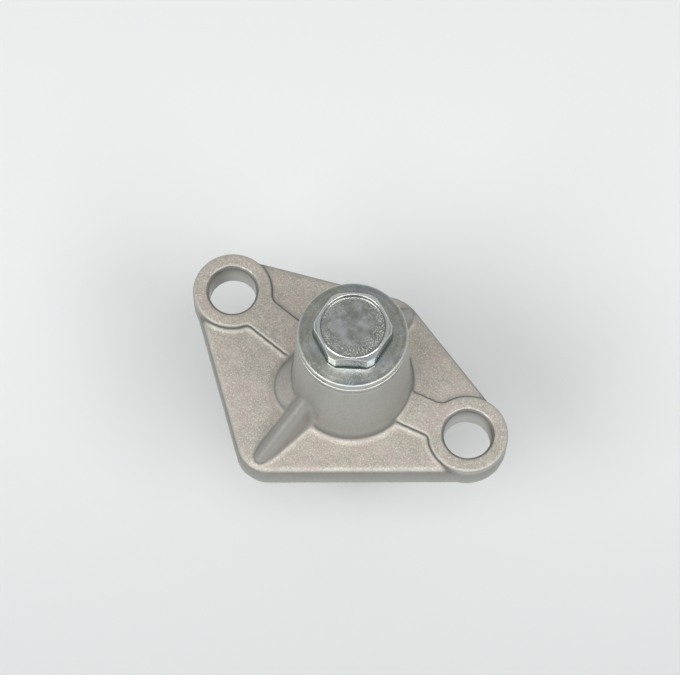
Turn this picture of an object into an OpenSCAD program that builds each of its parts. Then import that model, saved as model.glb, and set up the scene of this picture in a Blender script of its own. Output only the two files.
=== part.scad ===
// Screw-type timing chain tensioner, plunger fully out.
// Origin: the barrel's axis on the engine's mounting face.
// +Z points out of the engine towards the seal bolt, +X runs from one mounting hole to the other.

/* [Mounting plate] */
// Distance between the two mounting holes
hole_spacing = 41; // [39:0.5:45]
// Middle of the hole pair from the barrel's axis, along X
hole_mid_x = -1.65; // [-3:0.05:0]
// Hole line from the barrel's axis, along Y
hole_y = 2; // [0:0.1:4]
// Mounting hole diameter
hole_d = 7; // [6.4:0.1:7.6]
// Chamfer at the outer end of a mounting hole
hole_chamfer = 0.5; // [0.2:0.05:0.6]
// Thickness of the plate
plate_t = 4.6; // [4:0.1:6]
// Rounding of the plate's outer edge
plate_edge_r = 1; // [0.5:0.1:1.5]
// Radius of a bolt lug
lug_r = 5.9; // [5.5:0.1:6.5]
// Height of the lugs and webs above the plate
lug_step = 0.8; // [0.5:0.1:1.2]
// Rounding of a lug's top edge
lug_edge_r = 0.4; // [0.2:0.1:0.6]
// How far a lug stands out past the plate's straight edges
lug_proud = 0.15; // [0.1:0.05:0.3]
// Place of the long corner's centre along X
long_corner_x = -4.9; // [-7:0.1:-3]
// Place of the long corner's centre along Y
long_corner_y = -14.5; // [-16:0.1:-13]
// Radius of the long corner
long_corner_r = 4.9; // [4:0.1:6]
// Place of the short corner's centre along Y
short_corner_y = 8.8; // [8:0.1:11]
// Radius of the short corner
short_corner_r = 6; // [4.5:0.1:7]
// Width of the raised web between lug and boss
web_w = 5.3; // [4:0.1:6.5]
// Place along Y that both webs run to, beside the barrel's axis
web_aim_y = -0.6; // [-1.5:0.1:0.5]
// Inner corner radius between web and lug on the long corner's side
web_long_side_r = 0.9; // [0.6:0.1:2]
// Inner corner radius between web and lug on the short corner's side
web_short_side_r = 1.9; // [1:0.1:2.5]

/* [Boss, ribs and buttress] */
// Height of the boss above the plate
boss_h = 16.8; // [15:0.2:20]
// Radius of the boss at its top
boss_top_r = 7.95; // [7.8:0.05:8.4]
// Radius of the boss at its foot
boss_foot_r = 8.6; // [8.5:0.05:9]
// Radius of the flare around the boss's foot
boss_flare_r = 4; // [2:0.5:5]
// Arc of the flare, in degrees
boss_flare_span = 40; // [30:1:50]
// Rounding of the boss's top edge
boss_edge_r = 0.3; // [0.1:0.1:0.5]
// Direction of the long rib's end around the axis, in degrees
long_rib_angle = 255; // [250:1:262]
// Direction of the long rib's root in the boss, in degrees
long_rib_root_angle = 247; // [243:1:255]
// Direction of the short rib around the axis, in degrees
short_rib_angle = 84; // [78:1:90]
// Height of the ribs above the plate at the boss
rib_h = 6.2; // [5:0.2:9]
// Height of the ribs above the plate at their ends
rib_end_h = 1; // [0.6:0.1:1.5]
// Width of a rib's foot inside the boss
rib_root_w = 4.6; // [3.6:0.1:5.2]
// Width of a rib's foot at its end
rib_end_w = 2.9; // [2.4:0.1:3.2]
// Radius of a rib's rounded crest
rib_crest_r = 1.25; // [0.8:0.05:1.4]
// Centre of the long rib's round end from the axis
long_rib_reach = 17.6; // [15:0.1:18]
// Centre of the short rib's round end from the axis
short_rib_reach = 12.8; // [11:0.1:13]
// Place of the centre of the buttress's round corner along X
buttress_x = -4.6; // [-5.5:0.1:-4]
// Place of the centre of the buttress's round corner along Y
buttress_y = -4.3; // [-5:0.1:-3.5]
// Radius of the buttress's round corner
buttress_r = 5.2; // [5:0.1:6]
// Height of the buttress where it meets the boss
buttress_h = 2.4; // [1.5:0.1:4.5]
// Height of the buttress at its outer edge
buttress_edge_h = 0.75; // [0.65:0.05:1.2]
// Rounding of the buttress's outer edge
buttress_edge_r = 0.7; // [0.4:0.1:0.9]

/* [Barrel] */
// Length of the barrel below the mounting face
barrel_len = 15; // [14:0.5:18]
// Wall of the barrel
barrel_wall = 1.7; // [1.5:0.1:2]
// Chamfer at the barrel's mouth
barrel_chamfer = 0.5; // [0.3:0.1:0.7]
// Solid wall between the bore and the top of the boss
end_wall_t = 6.4; // [5.6:0.2:7.4]
// Width of the three mouth notches for the guide plate's tabs
notch_w = 3.2; // [2.6:0.1:3.4]
// Direction of the notch that is slit further for the spring, in degrees
notch_angle = 90; // [60:5:120]
// Distance from the barrel's end to the guide plate
mouth_depth = 2; // [1.8:0.1:2.6]
// Depth of the snap ring's groove
groove_depth = 0.5; // [0.4:0.05:0.6]

/* [Seal bolt and washer] */
// Thread diameter of the seal bolt
bolt_d = 8; // [7:0.5:8]
// Pitch of the seal bolt's thread
bolt_pitch = 1.25; // [1:0.25:1.5]
// Depth of the seal bolt's thread form
bolt_thread_depth = 0.65; // [0.5:0.05:0.75]
// Unthreaded neck under the bolt's flange
bolt_neck = 1.4; // [1.2:0.1:2]
// Depth of the seal bolt's thread in the boss
bolt_reach = 5; // [4:0.2:5.4]
// Chamfer at the tip of the seal bolt
bolt_lead_in = 0.5; // [0.3:0.1:0.8]
// Width across the flats of the hex
hex_af = 10; // [9.5:0.5:12]
// Material rounded off each corner of the hex
hex_corner_cut = 0.3; // [0.1:0.05:0.4]
// Direction of a corner of the hex, in degrees
hex_angle = 30; // [0:1:59]
// Height of the hex above the flange's cone
hex_h = 3.45; // [3.2:0.05:5]
// Slant of the hex's top chamfer, as height lost at the corners
hex_chamfer = 0.75; // [0.4:0.05:1]
// Diameter of the bolt's flange
bolt_flange_d = 15.6; // [14.6:0.1:16.4]
// Thickness of the flange at its rim
bolt_flange_t = 1.3; // [1:0.1:1.6]
// Chamfer of the flange's rim
bolt_rim_chamfer = 0.15; // [0.05:0.05:0.3]
// Rise of the flange's cone from rim to hex
bolt_cone_h = 0.25; // [0.15:0.05:0.8]
// Diameter of the dish in the head
dish_d = 9.2; // [7:0.1:9.4]
// Flat land around the dish
dish_land = 0.2; // [0.1:0.05:0.25]
// Depth of the dish in the head
dish_depth = 0.45; // [0.2:0.05:1.5]
// Slant of the dish's wall, as radius lost at its floor
dish_slant = 0.15; // [0.05:0.05:0.8]
// Diameter of the sealing washer
washer_d = 15.8; // [14.8:0.1:16.4]
// Thickness of the sealing washer
washer_t = 1.1; // [0.8:0.1:1.5]

/* [Plunger and cap] */
// Plunger travel from fully out to fully in
travel = 10; // [8:0.5:12]
// Diameter of the plunger
plunger_d = 9.2; // [8.8:0.1:9.4]
// Width across the plunger's flats
plunger_af = 7.8; // [7.6:0.1:8.2]
// Length of the internal thread
nut_len = 8; // [6:0.5:9]
// Relief of the plunger's bore past its thread, on each side
bore_relief = 0.05; // [0.05:0.05:0.2]
// Free depth left in the plunger's bore when it is fully in
bore_spare = 1; // [0.6:0.1:1.4]
// Diameter of the plunger's nose inside the cap
nose_d = 6.6; // [5.6:0.1:7]
// Diameter of the cap
cap_d = 10.4; // [9.8:0.1:11]
// Height of the cap
cap_h = 3.6; // [3.2:0.1:5]
// Thickness of the cap's end
cap_floor = 1.4; // [1.2:0.1:1.8]
// Rounding of the cap's pushing edge
cap_edge_r = 1; // [0.5:0.1:1.4]

/* [Screw and spring] */
// Axial advance per turn of the screw
screw_lead = 4; // [3:0.5:5]
// Outer diameter of the screw thread
screw_d = 5.8; // [5.2:0.1:6]
// Depth of the screw thread
thread_depth = 0.55; // [0.4:0.05:0.65]
// How far the screw's tip stands out of the plunger's thread, fully out
tip_proud = 1.5; // [1:0.1:2]
// Diameter of the journal in the thrust seat
journal_d = 6; // [5.4:0.1:6.4]
// How far the journal stands past the closed end of the bore
journal_proud = 0.6; // [0.3:0.1:0.6]
// Width of the driver slot in the journal's end
driver_slot_w = 1; // [0.8:0.1:1.4]
// Depth of the driver slot
driver_slot_depth = 1.3; // [0.8:0.1:1.8]
// Length of the slit section that takes the spring's inner tang
hook_len = 3.2; // [2.6:0.1:4]
// Diameter of the slit section
hook_d = 7.6; // [7:0.1:8]
// Unslit ring left at the top of the slit section
hook_rim = 1; // [0.8:0.1:1.2]
// Thickness of the screw's collar
collar_t = 1.2; // [0.9:0.1:1.6]
// Thickness of the thrust seat
seat_t = 1; // [0.8:0.1:1.4]
// Spring wire diameter
wire_d = 1; // [0.8:0.1:1]
// Number of spring coils
spring_turns = 11.75; // [9.75:1:13.75]
// Height of the spring's outer tang above the guide plate
spring_foot = 2.5; // [2:0.1:3.5]
// Distance of the inner tang's end from the axis
tang_end_r = 1; // [0.6:0.1:1.6]
// Wall of the spacer tube
spacer_wall = 0.4; // [0.3:0.05:0.4]
// Thickness of the guide plate
guide_t = 2; // [1.6:0.1:2.4]
// How far the guide plate's tabs stay inside the barrel's outer face
tab_setback = 0.5; // [0.3:0.1:0.8]
// Thickness of the snap ring
snap_ring_t = 1; // [0.8:0.1:1]
// Radial width of the snap ring
snap_ring_w = 1.35; // [1.1:0.05:1.5]
// Opening of the snap ring, in degrees
snap_ring_gap = 42; // [30:2:60]

/* [Fits] */
// Gap of a running or sliding fit, on each side
running_gap = 0.08; // [0.05:0.01:0.1]
// Gap between the screw's and the plunger's threads
thread_gap = 0.2; // [0.16:0.01:0.25]
// Gap between pieces that pass each other freely
free_gap = 0.3; // [0.25:0.01:0.35]
// Gap between seated pieces that are put in by hand
seat_gap = 0.05; // [0.03:0.01:0.08]

/* [Hidden] */
// Facets of turned faces, of the plate's corners and of the rib ends
$fn = 64;
hull_fn = 40;
rib_fn = 24;
// Steps of a rounded edge
arc_steps = 5;
// Overlap of joined solids and overrun of cuts
fuse = 0.02;
over = 1;
// How far feet and tops are held off each other's planes
sink = 0.06;
rib_sink = 0.4;
// How far the ribs and the buttress run into the boss
rib_inset = 2;
buttress_inset = 0.4;
// How far a core stands above the root of its thread
root_cover = 0.05;

// Plate and boss
hole_xs = [hole_mid_x - hole_spacing / 2, hole_mid_x + hole_spacing / 2];
plate_lug_r = lug_r - lug_proud;
pad_top = plate_t + lug_step;
boss_top = plate_t + boss_h;
boss_core_r = boss_foot_r - rib_inset;

// Radial build-up from the plunger outwards
plunger_r = plunger_d / 2;
spacer_in_r = plunger_r + free_gap;
spacer_out_r = spacer_in_r + spacer_wall;
spring_r = spacer_out_r + free_gap / 2 + wire_d / 2;
bore_r = spring_r + wire_d / 2 + free_gap;
barrel_r = bore_r + barrel_wall;
groove_r = bore_r + groove_depth;
collar_r = spacer_out_r;

// Levels from the closed end of the bore downwards
bore_end = boss_top - end_wall_t;
seat_under = bore_end - seat_t;
hook_top = seat_under - seat_gap;
collar_top = hook_top - hook_len;
collar_under = collar_top - collar_t;
tang_z = (hook_top + collar_top) / 2;
journal_top = bore_end + journal_proud;

// Levels from the barrel's mouth upwards
barrel_end = -barrel_len;
guide_under = barrel_end + mouth_depth;
guide_top = guide_under + guide_t;
ring_top = guide_under - seat_gap;
ring_under = ring_top - snap_ring_t;
spring_foot_z = guide_top + spring_foot;
spacer_top = collar_under - seat_gap;

// Plunger levels, fully out
plunger_shoulder = guide_top + seat_gap;
plunger_rear = collar_under - travel - free_gap;
nut_under = plunger_rear - nut_len;
screw_front = nut_under - tip_proud;
plunger_bore_end = screw_front - travel - bore_spare;
plunger_bore_r = screw_d / 2 + thread_gap + bore_relief;
cap_top = barrel_end - 2 * free_gap - travel;
cap_under = cap_top - cap_h;
nose_end = cap_under + cap_floor;

// Seal bolt levels
washer_top = boss_top + washer_t;
rim_top = washer_top + bolt_flange_t;
hex_foot = rim_top + bolt_cone_h;
hex_top = hex_foot + hex_h;

// Slit widths and snap ring
wire_slit_w = wire_d + 2 * free_gap;
hook_slit_w = wire_d + free_gap;
snap_ring_out_r = groove_r - seat_gap;
spring_top_angle = notch_angle - 360 * spring_turns;

// Points around a thread and slices per turn
thread_points = 16;
thread_slices_per_turn = 16;

// Sides of the spring's wire, steps per coil and bend from coil to tang
wire_sides = 6;
coil_steps = 14;
bend_r = 1.2;

cast_aluminium = [0.67, 0.64, 0.60];
zinc_steel = [0.62, 0.64, 0.64];
bare_steel = [0.55, 0.55, 0.56];
dark_steel = [0.30, 0.30, 0.32];

// Points of a quarter arc around a centre, from one direction to another
function arc(centre, r, from, to) = [
    for (i = [0 : arc_steps])
        let (a = from + (to - from) * i / arc_steps)
        centre + r * [cos(a), sin(a)]
];

// Half section of a disc whose top edge is rounded
function round_top_profile(r, bottom, top, edge_r) = concat(
    [[0, bottom], [r, bottom]],
    arc([r - edge_r, top - edge_r], edge_r, 0, 90),
    [[0, top]]
);

// Ring around the axis between two levels
module ring(in_r, out_r, under, top) {
    translate([0, 0, under])
        linear_extrude(top - under)
            difference() {
                circle(out_r);
                circle(in_r);
            }
}

// Round bar along the axis between two levels
module bar(r, under, top) {
    translate([0, 0, under])
        cylinder(r = r, h = top - under);
}

// Cross-section of a thread: a round core with one crest for each start
function thread_profile(d, depth, starts) = [
    for (i = [0 : thread_points - 1])
        let (a = 360 * i / thread_points)
        ((d - depth) / 2 + depth / 2 * cos(starts * a)) * [cos(a), sin(a)]
];

// Right-hand thread between two levels, in step with any other of the same lead
module thread(under, top, d, depth, lead, starts = 1) {
    h = top - under;
    slices = ceil(thread_slices_per_turn * h / lead);
    translate([0, 0, under])
        rotate(360 * under / lead)
            linear_extrude(h, twist = -360 * h / lead, slices = slices, segments = thread_points)
                polygon(thread_profile(d, depth, starts));
}

// Two-start thread of the screw, grown on all sides for the plunger's bore
module drive_thread(under, top, grow = 0) {
    thread(under, top, screw_d + 2 * grow, thread_depth, screw_lead, starts = 2);
}

// Plate with rounded upper edge, drawn tight around four corner discs
module plate() {
    corners = [
        [hole_xs[0], hole_y, plate_lug_r],
        [hole_xs[1], hole_y, plate_lug_r],
        [long_corner_x, long_corner_y, long_corner_r],
        [0, short_corner_y, short_corner_r]
    ];
    hull()
        for (c = corners)
            translate([c.x, c.y, 0])
                rotate_extrude($fn = hull_fn)
                    polygon(round_top_profile(c.z, 0, plate_t, plate_edge_r));
}

// Inner corner between web and lug, on one side of a web that runs along X
module web_corner(reach, side, r) {
    y = web_w / 2 + r;
    x = reach - sqrt(pow(lug_r + r, 2) - pow(y, 2));
    difference() {
        polygon([[x, side * web_w / 2], [reach, 0], [x, side * y]]);
        translate([x, side * y])
            circle(r + fuse);
    }
}

// Raised band from beside the axis to a lug, with its inner corners filleted
module web(hole_x) {
    rise = hole_y - web_aim_y;
    reach = norm([hole_x, rise]);
    translate([0, web_aim_y, 0])
        rotate(atan2(rise, hole_x))
            linear_extrude(pad_top - sink) {
                translate([0, -web_w / 2])
                    square([reach, web_w]);
                web_corner(reach, -sign(hole_x), web_long_side_r);
                web_corner(reach, sign(hole_x), web_short_side_r);
            }
}

module lug() {
    rotate_extrude()
        polygon(round_top_profile(lug_r, 0, pad_top, lug_edge_r));
}

// Drafted boss with a flared foot
module boss() {
    flare_z = plate_t - sink + boss_flare_r * sin(boss_flare_span);
    flare = arc([boss_foot_r + boss_flare_r, flare_z], boss_flare_r, 180 + boss_flare_span, 180);
    rotate_extrude()
        polygon(concat(
            [[0, plate_t / 3], [flare[0].x, plate_t / 3]],
            flare,
            arc([boss_top_r - boss_edge_r, boss_top - boss_edge_r], boss_edge_r, 0, 90),
            [[0, boss_top]]
        ));
}

// Upright drafted pin with a round crest, one end of a rib
module rib_end(angle, r, h, foot_w) {
    rotate(angle)
        translate([r, 0, 0]) {
            cylinder(d = foot_w, h = plate_t - rib_sink);
            translate([0, 0, plate_t + h - rib_crest_r])
                sphere(rib_crest_r);
        }
}

module rib(root_angle, end_angle, reach) {
    slope = (rib_h - rib_end_h) / (reach - boss_foot_r);
    root_h = rib_end_h + slope * (reach - boss_core_r);
    hull() {
        rib_end(root_angle, boss_core_r, root_h, rib_root_w, $fn = rib_fn);
        rib_end(end_angle, reach, rib_end_h, rib_end_w, $fn = rib_fn);
    }
}

// Sloped ledge that stiffens the boss between the left web and the long rib
module buttress() {
    under = plate_t / 4;
    hull() {
        translate([buttress_x, buttress_y, 0])
            rotate_extrude($fn = hull_fn)
                polygon(round_top_profile(buttress_r, under, plate_t + buttress_edge_h, buttress_edge_r));
        translate([0, 0, under])
            cylinder(r = boss_foot_r - buttress_inset, h = plate_t + buttress_h - under);
    }
}

module barrel() {
    rotate_extrude()
        polygon([
            [0, barrel_end],
            [barrel_r - barrel_chamfer, barrel_end],
            [barrel_r, barrel_end + barrel_chamfer],
            [barrel_r, plate_t / 2],
            [0, plate_t / 2]
        ]);
}

// Clearance hole with a chamfer at its outer end
module mounting_hole() {
    translate([0, 0, -over])
        cylinder(d = hole_d, h = pad_top + 2 * over);
    translate([0, 0, pad_top - hole_chamfer])
        cylinder(d1 = hole_d, d2 = hole_d + 4 * hole_chamfer, h = 2 * hole_chamfer);
}

// Radial cut from the axis through the barrel's wall, up from the mouth
module mouth_slit(angle, width, top) {
    rotate(angle)
        translate([0, -width / 2, barrel_end - over])
            cube([barrel_r + over, width, top - barrel_end + over]);
}

// One-piece die casting: plate, lugs, webs, boss, ribs, buttress and barrel
module housing() {
    plug_r = bolt_d / 2 + seat_gap;
    color(cast_aluminium)
        difference() {
            union() {
                plate();
                for (x = hole_xs) {
                    web(x);
                    translate([x, hole_y, 0])
                        lug();
                }
                boss();
                buttress();
                rib(long_rib_root_angle, long_rib_angle, long_rib_reach);
                rib(short_rib_angle, short_rib_angle, short_rib_reach);
                barrel();
            }
            for (x = hole_xs)
                translate([x, hole_y, 0])
                    mounting_hole();
            bar(bore_r, barrel_end - over, bore_end);
            bar(groove_r, ring_under - seat_gap, guide_under);
            bar(plug_r, bore_end - over, boss_top + over);
            for (i = [0 : 2])
                mouth_slit(notch_angle + 120 * i, notch_w, guide_top);
            mouth_slit(notch_angle, wire_slit_w, spring_foot_z + wire_slit_w / 2);
        }
}

// Hex flange bolt with a dished head, seated on the washer
module seal_bolt() {
    flange_r = bolt_flange_d / 2;
    hex_r = hex_af / 2 / cos(30) - hex_corner_cut;
    dish_r = dish_d / 2;
    tip = boss_top - bolt_reach;
    core_r = bolt_d / 2 - bolt_thread_depth + root_cover;
    thread_tip = tip + bolt_lead_in;
    color(zinc_steel)
        difference() {
            union() {
                rotate_extrude()
                    polygon([
                        [0, tip],
                        [core_r - bolt_lead_in, tip],
                        [core_r, thread_tip],
                        [core_r, washer_top],
                        [flange_r, washer_top],
                        [flange_r, rim_top - bolt_rim_chamfer],
                        [flange_r - bolt_rim_chamfer, rim_top],
                        [hex_af / 2, hex_foot],
                        [0, hex_foot]
                    ]);
                thread(thread_tip, washer_top - bolt_neck, bolt_d, bolt_thread_depth, bolt_pitch);
                intersection() {
                    rotate(hex_angle)
                        translate([0, 0, washer_top])
                            cylinder(d = hex_af / cos(30), h = hex_top - washer_top, $fn = 6);
                    rotate_extrude()
                        polygon([
                            [0, washer_top],
                            [hex_r, washer_top],
                            [hex_r, hex_top - hex_chamfer],
                            [dish_r + dish_land, hex_top],
                            [0, hex_top]
                        ]);
                }
            }
            rotate_extrude()
                polygon([
                    [0, hex_top - dish_depth],
                    [dish_r - dish_slant, hex_top - dish_depth],
                    [dish_r, hex_top + fuse],
                    [0, hex_top + fuse]
                ]);
        }
}

module seal_washer() {
    color(zinc_steel)
        ring(bolt_d / 2 + free_gap, washer_d / 2, boss_top, washer_top);
}

// Thrust ring at the closed end of the bore
module thrust_seat() {
    color(bare_steel)
        ring(journal_d / 2 + running_gap, bore_r - running_gap, seat_under, bore_end);
}

// Screw with journal and driver slot, slit hook section, collar and two-start thread
module drive_screw() {
    color(bare_steel)
        difference() {
            union() {
                bar(journal_d / 2, hook_top - over, journal_top);
                bar(hook_d / 2, collar_under, hook_top);
                bar(collar_r, collar_under, collar_top);
                drive_thread(screw_front, collar_under + collar_t / 2);
            }
            translate([-journal_d, -driver_slot_w / 2, journal_top - driver_slot_depth])
                cube([2 * journal_d, driver_slot_w, driver_slot_depth + over]);
            rotate(spring_top_angle)
                translate([-hook_d, -hook_slit_w / 2, collar_top])
                    cube([2 * hook_d, hook_slit_w, hook_len - hook_rim]);
        }
}

// Wire path of the spring: inner tang, left-hand coils from top to foot, outer tang
function coil_point(t) =
    let (a = spring_top_angle + 360 * spring_turns * t)
    [spring_r * cos(a), spring_r * sin(a), tang_z + (spring_foot_z - tang_z) * t];

function tang_point(angle, r, z) = [r * cos(angle), r * sin(angle), z];

function spring_path() =
    let (
        n = ceil(spring_turns * coil_steps),
        bend = bend_r / (2 * PI * spring_r * spring_turns)
    )
    concat(
        [
            tang_point(spring_top_angle, tang_end_r, tang_z),
            tang_point(spring_top_angle, spring_r - bend_r, tang_z)
        ],
        [for (i = [0 : n]) coil_point(bend + (1 - 2 * bend) * i / n)],
        [
            tang_point(notch_angle, spring_r + bend_r, spring_foot_z),
            tang_point(notch_angle, barrel_r - wire_d / 2, spring_foot_z)
        ]
    );

// Ring of wire surface points around one path point, square to the path
function wire_ring(path, i) =
    let (
        last = len(path) - 1,
        along = path[min(i + 1, last)] - path[max(i - 1, 0)],
        side = cross(along, [0, 0, 1]) / norm(cross(along, [0, 0, 1])),
        up = cross(side, along) / norm(along)
    )
    [
        for (k = [0 : wire_sides - 1])
            let (a = 360 * k / wire_sides)
            path[i] + wire_d / 2 * (side * cos(a) + up * sin(a))
    ];

module torsion_spring() {
    path = spring_path();
    count = len(path);
    points = [for (i = [0 : count - 1]) each wire_ring(path, i)];
    skin = [
        for (i = [0 : count - 2])
            for (k = [0 : wire_sides - 1])
                let (
                    a = i * wire_sides + k,
                    b = i * wire_sides + (k + 1) % wire_sides
                )
                each [[a, b, b + wire_sides], [a, b + wire_sides, a + wire_sides]]
    ];
    start_cap = [for (k = [wire_sides - 1 : -1 : 0]) k];
    end_cap = [for (k = [0 : wire_sides - 1]) (count - 1) * wire_sides + k];
    color(dark_steel)
        polyhedron(points, concat(skin, [start_cap, end_cap]));
}

module spacer_tube() {
    color(bare_steel)
        ring(spacer_in_r, spacer_out_r, guide_top, spacer_top);
}

// Outline of the plunger's flatted part, grown by a clearance
module double_d(grow) {
    intersection() {
        circle(plunger_r + grow);
        square([plunger_d + over, plunger_af + 2 * grow], center = true);
    }
}

// Push rod: round threaded rear, flatted front, nose inside the cap
module plunger() {
    color(bare_steel)
        difference() {
            union() {
                bar(plunger_r, plunger_shoulder, plunger_rear);
                translate([0, 0, cap_top])
                    linear_extrude(plunger_shoulder - cap_top + fuse)
                        double_d(0);
                bar(nose_d / 2, nose_end, cap_top + fuse);
            }
            bar(plunger_bore_r, plunger_bore_end, nut_under);
            drive_thread(nut_under - fuse, plunger_rear + fuse, thread_gap);
        }
}

module plunger_cap() {
    cap_r = cap_d / 2;
    color(dark_steel)
        difference() {
            rotate_extrude()
                polygon(concat(
                    [[0, cap_top], [0, cap_under]],
                    arc([cap_r - cap_edge_r, cap_under + cap_edge_r], cap_edge_r, 270, 360),
                    [[cap_r, cap_top]]
                ));
            bar(nose_d / 2, nose_end, cap_top + over);
        }
}

// Tabbed plate that keeps the plunger from turning
module guide_plate() {
    tab_w = notch_w - 2 * seat_gap;
    tab_reach = barrel_r - tab_setback;
    color(bare_steel)
        translate([0, 0, guide_under])
            linear_extrude(guide_t)
                difference() {
                    union() {
                        circle(bore_r - seat_gap);
                        for (i = [0 : 2])
                            rotate(notch_angle + 120 * i)
                                translate([0, -tab_w / 2])
                                    square([tab_reach, tab_w]);
                    }
                    double_d(running_gap);
                }
}

// Open ring sprung into the groove at the barrel's mouth
module snap_ring() {
    color(dark_steel)
        rotate(notch_angle + 60 + snap_ring_gap / 2)
            rotate_extrude(angle = 360 - snap_ring_gap)
                translate([snap_ring_out_r - snap_ring_w, ring_under])
                    square([snap_ring_w, snap_ring_t]);
}

housing();
seal_bolt();
seal_washer();
thrust_seat();
drive_screw();
torsion_spring();
spacer_tube();
plunger();
plunger_cap();
guide_plate();
snap_ring();
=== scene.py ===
"""Looks of a screw-type timing chain tensioner: casting, seal bolt and steel drive."""
import math

import bmesh
import bpy
import numpy as np
from mathutils import Matrix, Vector, kdtree, noise

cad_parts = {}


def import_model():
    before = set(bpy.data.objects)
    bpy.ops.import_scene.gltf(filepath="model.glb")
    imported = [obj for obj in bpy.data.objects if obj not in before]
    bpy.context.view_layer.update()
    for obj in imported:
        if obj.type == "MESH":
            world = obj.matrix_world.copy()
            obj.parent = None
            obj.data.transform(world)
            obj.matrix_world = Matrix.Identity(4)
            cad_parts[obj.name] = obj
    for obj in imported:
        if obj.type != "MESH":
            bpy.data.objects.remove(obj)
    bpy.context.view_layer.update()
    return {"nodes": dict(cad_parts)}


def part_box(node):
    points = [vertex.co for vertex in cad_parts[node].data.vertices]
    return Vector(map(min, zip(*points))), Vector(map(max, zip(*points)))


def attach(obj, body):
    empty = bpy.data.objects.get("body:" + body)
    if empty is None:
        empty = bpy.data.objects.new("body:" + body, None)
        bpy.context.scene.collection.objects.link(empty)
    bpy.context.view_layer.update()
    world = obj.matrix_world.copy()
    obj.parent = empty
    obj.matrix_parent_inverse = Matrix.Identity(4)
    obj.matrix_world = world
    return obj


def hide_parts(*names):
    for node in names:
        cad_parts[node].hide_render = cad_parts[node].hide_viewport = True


MM = 0.001

# Photograph's camera, as seen from the part's frame
PHOTO_W = 680
FOCAL_PX = 2800
SENSOR_MM = 36
CAMERA_TILT_DEG = 20
CAMERA_AZIMUTH_DEG = 31.7
CAMERA_ROLL_DEG = 1.2
CAMERA_DISTANCE = 414.2 * MM
CAMERA_SHIFT_RIGHT = -1.612 * MM
CAMERA_SHIFT_UP = 7.766 * MM

# Floor, in metres: half its side, how far the part presses into it, where its tone changes, a
# painted falloff of light that is lighter towards the back
FLOOR_HALF = 1.5
FLOOR_RISE = 0.02 * MM
FLOOR_FADE = (-60 * MM, 20 * MM)

# Surroundings, by height (1 is straight up) and by side (1 is level, behind the camera)
CEILING_HEIGHT = (0.1, 0.45)
ROOM_HEIGHT = (0.4, 0.6)
ROOM_SIDE = (0.35, 0.55)
AMBIENT_STRENGTH = 0.33

# Sizes of the casting that its finish and its painted shade depend on, in metres
PLATE_TOP = 4.6 * MM
RIM_SHADE = 3.9 * MM
RIM_FOOT = 0.5 * MM
HOLE_CENTRES = ((-22.15 * MM, 2 * MM), (18.85 * MM, 2 * MM))
HOLE_R = 3.5 * MM
HOLE_CHAMFER = 0.5 * MM
BORE_R = 6.75 * MM
BORE_END = 15 * MM
RIB_LINES = (
    ((-3.0 * MM, -7.2 * MM), (-4.6 * MM, -17.0 * MM)),
    ((0.8 * MM, 7.4 * MM), (1.3 * MM, 12.7 * MM)),
)
RIB_HALF_W = 2.3 * MM
RIB_CREST = 0.8
RIB_START = 0.1 * MM
RIB_FADE = 0.4 * MM
BOSS_R = 8.6 * MM
LEDGE_CENTRE = (-4.6 * MM, -4.3 * MM)
LEDGE_R = 6 * MM
# Share of the ribs' colour, with its painted shade, that the ledge gets
LEDGE_GREY = 0.3

# Skin of the casting: softness is the share of the way to its neighbours that a point moves
# in one pass, and a wave is the size and depth of its unevenness in metres
CAST_SOFTNESS = 0.5
MACHINED_SOFTNESS = 0.35
DRILLED_SOFTNESS = 0.12
CAST_PASSES = 3
CORNER_PASSES = 12
CORNER_SPREAD = 3
CAST_WAVES = ((4 * MM, 0.035 * MM), (0.9 * MM, 0.018 * MM))

# Sizes of the seal bolt that its finish and its painted shade depend on, in metres, and its
# forged skin
FLANGE_R = 7.8 * MM
DISH_R = 4.6 * MM
DISH_DEPTH = 0.45 * MM
DISH_WAVE = (0.5 * MM, 0.02 * MM)
RECESS_START = 0.2 * MM
RECESS_FULL = 0.5 * MM
STEEL_SOFTNESS = 0.5
FORGED_PASSES = 3
FORGED_EDGE_PASSES = 6

# Meshes: spacing of their points, how near to a surface a point counts as on it, both in
# metres, and their limits
CASTING_VOXEL = 0.2 * MM
FINE_VOXEL = 0.1 * MM
NEAR_SURFACE = 0.2 * MM
WELD_DISTANCE = 1e-6
CASTING_TRIANGLES = 185000
SCREW_TRIANGLES = 70000
BEVEL_ANGLE_DEG = 40
BEVEL_SEGMENTS = 2

# Marks that the materials read: how edges are evened out and raised, how far the wall of a step
# looks for its edge and corner, and the values where a mark begins and where it is full
EDGE_PASSES = 3
EDGE_GAIN = 8
STEP_SPREAD = 4
STEP_GAIN = 1.5
FAINT_MARK = 0.05
CLEAR_MARK = 0.3

# Two-start thread of the drive screw, in metres
THREAD_MID_R = 2.625 * MM
THREAD_HALF_DEPTH = 0.275 * MM
THREAD_LEAD = 4 * MM
THREAD_STARTS = 2
THREAD_TOP = 9.55 * MM
THREAD_PASSES = 2

# Middle line of the spring's wire, in metres
WIRE_R = 0.5 * MM
WIRE_SIDES = 12
WIRE_END_EASE = 0.1 * MM
SPRING_R = 5.95 * MM
SPRING_TOP = 12.35 * MM
SPRING_FOOT = -8.5 * MM
SPRING_FOOT_DEG = 90
SPRING_TURNS = 11.75
SPRING_STEPS_PER_TURN = 40
INNER_TANG_R = 1 * MM
OUTER_TANG_R = 7.95 * MM
TANG_BEND = 1.2 * MM
TANG_BEND_STEPS = 8

# Distance between the tool lines of the steel pieces, in metres
GROUND_LINES = 0.06 * MM
TURNED_LINES = 0.14 * MM

# Range that most values of a noise fall in
NOISE_SPAN = (0.3, 0.7)

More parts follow.
